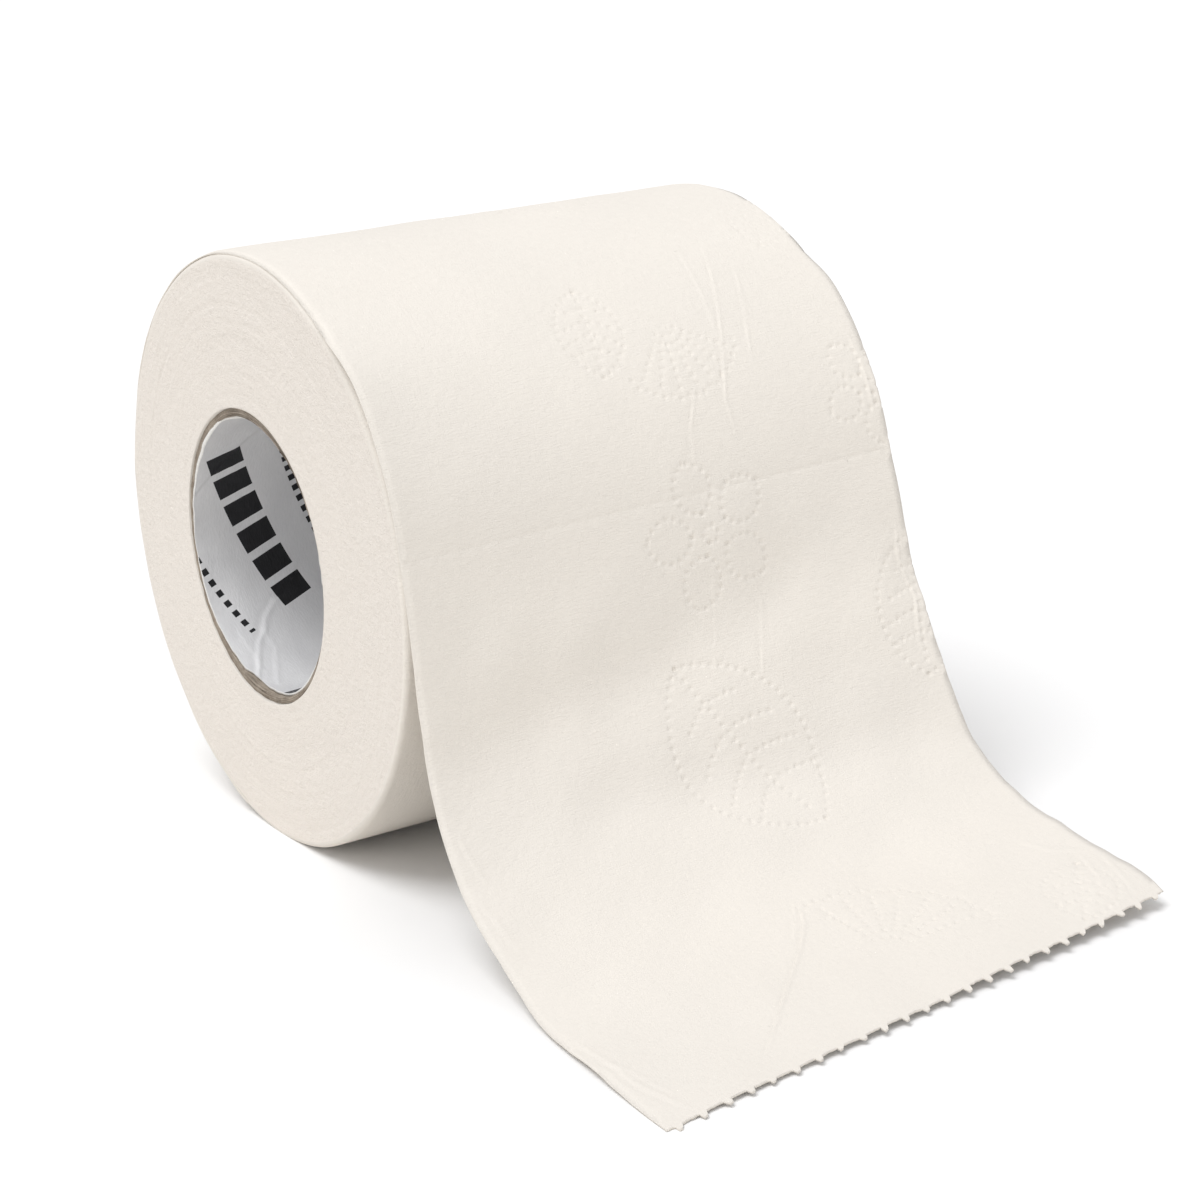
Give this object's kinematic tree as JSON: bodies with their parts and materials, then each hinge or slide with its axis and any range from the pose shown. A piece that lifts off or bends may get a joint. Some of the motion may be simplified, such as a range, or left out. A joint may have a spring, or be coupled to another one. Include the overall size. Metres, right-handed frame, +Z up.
{
  "type": "toilet paper roll",
  "caption": "Toilet paper roll lying on its side, its loose sheet curving forward to the floor and ending in a torn perforated edge, on a lined cardboard core.",
  "frame": {"origin": "middle of the core's bore, halfway along the roll", "axes": "+X along the core, -Y towards the loose sheet, +Z up from the floor that the roll lies on"},
  "size_m": [0.1017, 0.178, 0.1004],
  "materials": {
    "tissue": "matt soft embossed tissue",
    "cardboard": "matt grey-brown board",
    "liner": "smooth silver-grey paper"
  },
  "bodies": {
    "root": {"tissue_web": "tissue", "core_tube": "cardboard", "core_liner": "liner"}
  },
  "joints": []
}
